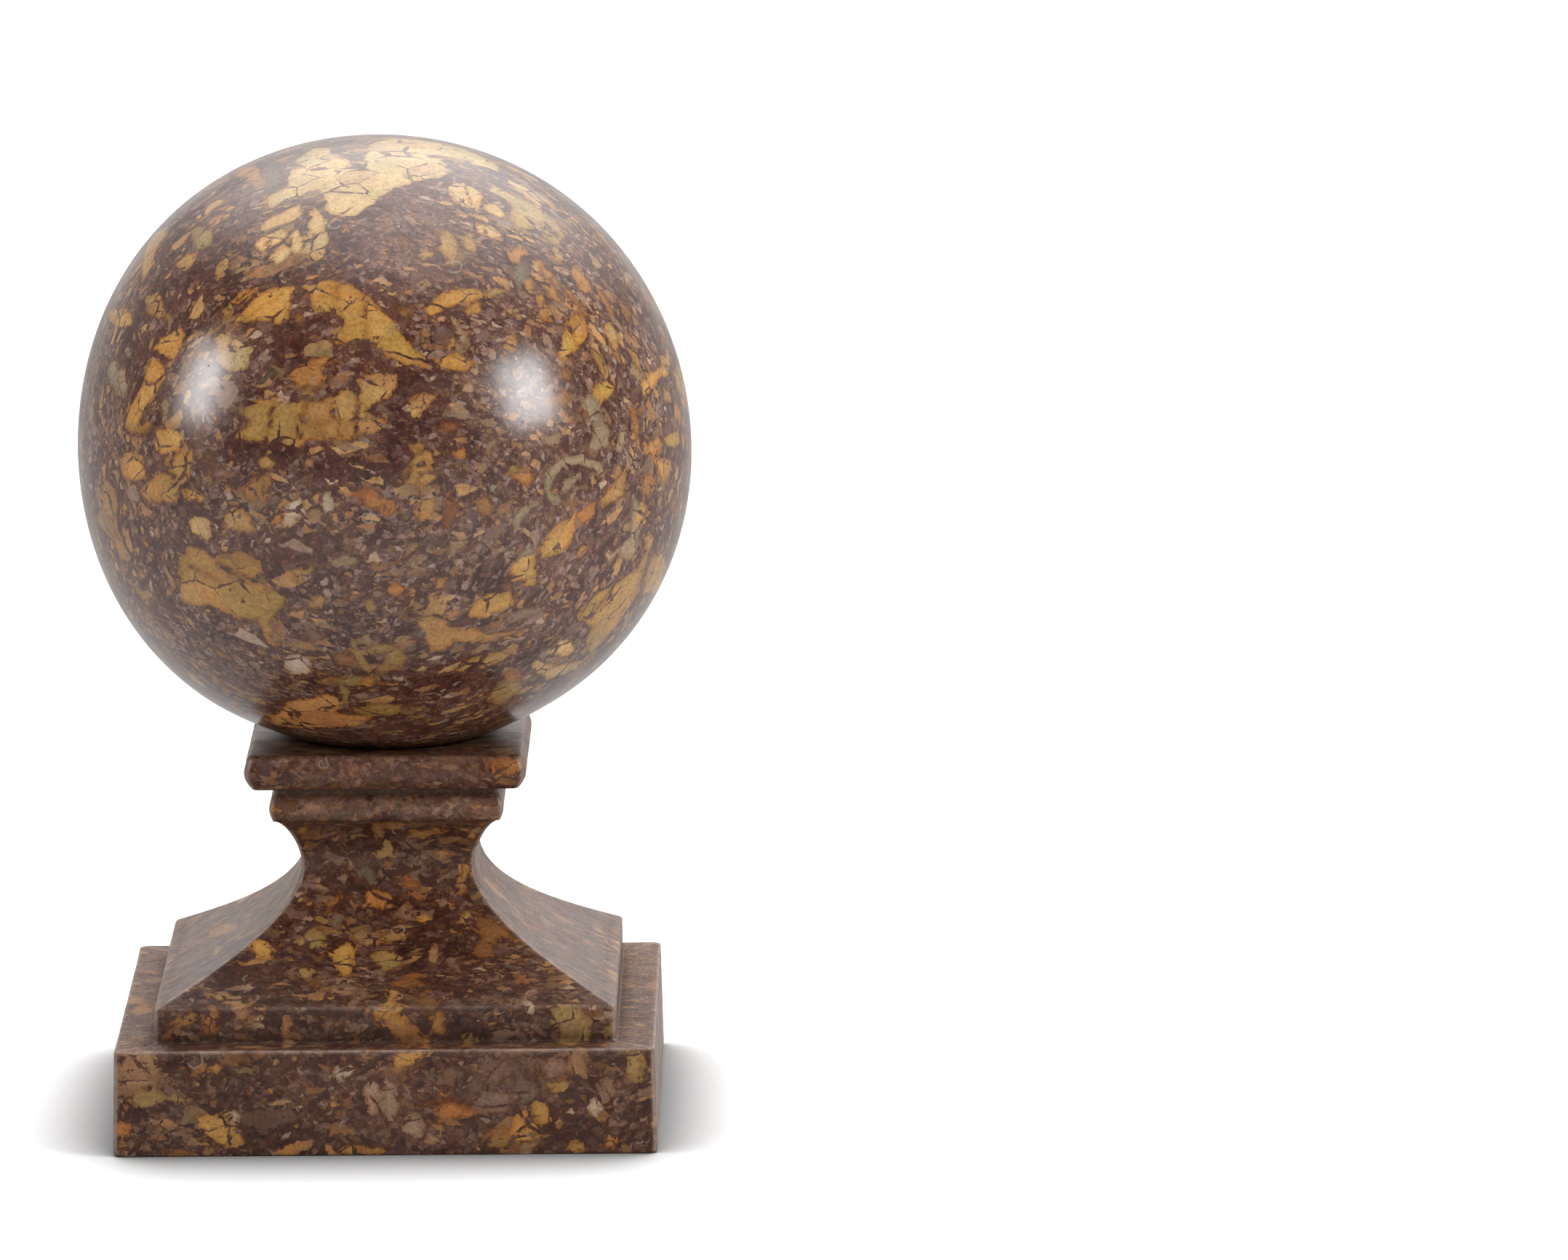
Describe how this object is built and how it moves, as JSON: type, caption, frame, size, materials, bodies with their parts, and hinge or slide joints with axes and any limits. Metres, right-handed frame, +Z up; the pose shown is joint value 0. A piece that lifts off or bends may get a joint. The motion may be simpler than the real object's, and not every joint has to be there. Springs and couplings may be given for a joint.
{
  "type": "stone pier ball",
  "caption": "Polished figured-stone ball resting in the shallow seat of a square carved pedestal with a swept base, narrow neck and cushioned cap.",
  "frame": {"origin": "middle of the pedestal's flat underside, on the surface that it stands on", "axes": "+Z up through the neck and the ball's centre; -Y towards the face that the picture shows, +X to that face's right"},
  "size_m": [0.3, 0.3, 0.476],
  "materials": {
    "polished_stone": "polished shell breccia: maroon-brown ground with ochre, orange and olive-grey clasts and white shell bits, a few open pits",
    "honed_stone": "the same breccia, polished on the upright faces and duller, with fine tool lines, on the sweep, ledge and cap; arrises worn"
  },
  "bodies": {
    "root": {"ball": "polished_stone", "pedestal": "honed_stone"}
  },
  "joints": []
}
